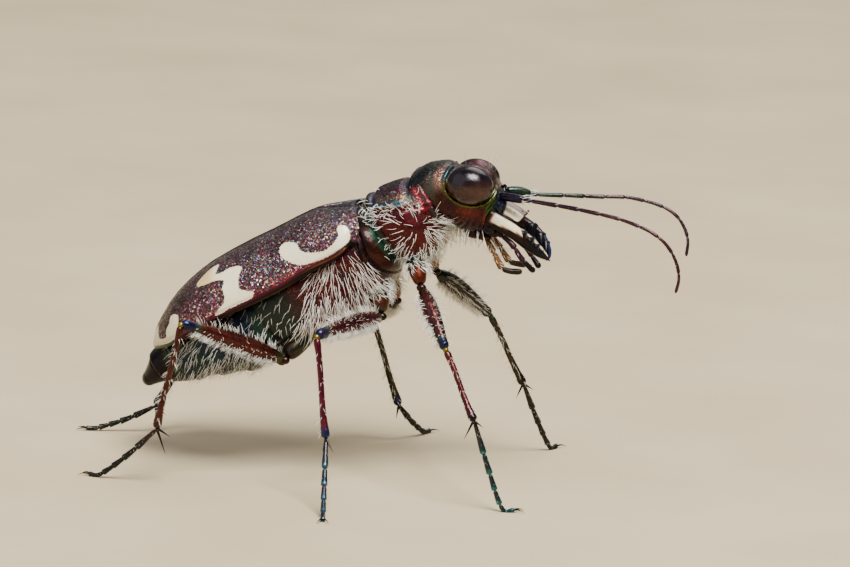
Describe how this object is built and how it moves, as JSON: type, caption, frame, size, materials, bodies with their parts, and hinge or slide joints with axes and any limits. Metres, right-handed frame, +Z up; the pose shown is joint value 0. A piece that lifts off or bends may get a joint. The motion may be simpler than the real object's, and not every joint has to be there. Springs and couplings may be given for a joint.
{
  "type": "tiger beetle",
  "caption": "Life-size tiger beetle standing on long bristly legs, head low with open sickle jaws, dark bronze with cream bands.",
  "frame": {"origin": "centre of the bounding box, at floor level under the soles of the feet", "axes": "+X towards the head, +Y to the beetle's left, +Z up"},
  "size_m": [0.0214, 0.0148, 0.011],
  "materials": {
    "elytra": "purple-bronze, densely and finely pitted, with cream markings",
    "head": "dark bronze with green and copper sheen",
    "thorax": "copper-red and dark purple with a blue and green sheen",
    "abdomen": "glossy black with a green and blue sheen",
    "eyes": "smooth, glossy dark brown-grey",
    "labrum": "cream with a brown toothed edge",
    "mandibles": "glossy blue-black with a cream patch at the base",
    "palps": "yellow-brown to black-brown",
    "antennae": "metallic green and blue at the base, dark purple-brown beyond",
    "legs": "metallic red-brown with blue and green knees",
    "tarsi": "metallic blue-green",
    "hair": "stiff white bristles"
  },
  "bodies": {
    "root": {"head": "head", "eye_right": "eyes", "eye_left": "eyes", "labrum": "labrum", "mandible_right": "mandibles", "mandible_left": "mandibles", "maxillary_palp_right": "palps", "maxillary_palp_left": "palps", "labial_palp_right": "palps", "labial_palp_left": "palps", "antenna_scape_right": "antennae", "antenna_middle_right": "antennae", "antenna_tip_right": "antennae", "antenna_scape_left": "antennae", "antenna_middle_left": "antennae", "antenna_tip_left": "antennae", "prothorax": "thorax", "pterothorax": "thorax", "scutellum": "thorax", "elytron_right": "elytra", "elytron_left": "elytra", "abdomen": "abdomen", "coxa_front_right": "legs", "femur_front_right": "legs", "tibia_front_right": "legs", "tarsus_front_right": "tarsi", "coxa_front_left": "legs", "femur_front_left": "legs", "tibia_front_left": "legs", "tarsus_front_left": "tarsi", "coxa_middle_right": "legs", "femur_middle_right": "legs", "tibia_middle_right": "legs", "tarsus_middle_right": "tarsi", "coxa_middle_left": "legs", "femur_middle_left": "legs", "tibia_middle_left": "legs", "tarsus_middle_left": "tarsi", "coxa_hind_right": "legs", "femur_hind_right": "legs", "tibia_hind_right": "legs", "tarsus_hind_right": "tarsi", "coxa_hind_left": "legs", "femur_hind_left": "legs", "tibia_hind_left": "legs", "tarsus_hind_left": "tarsi"}
  },
  "joints": []
}
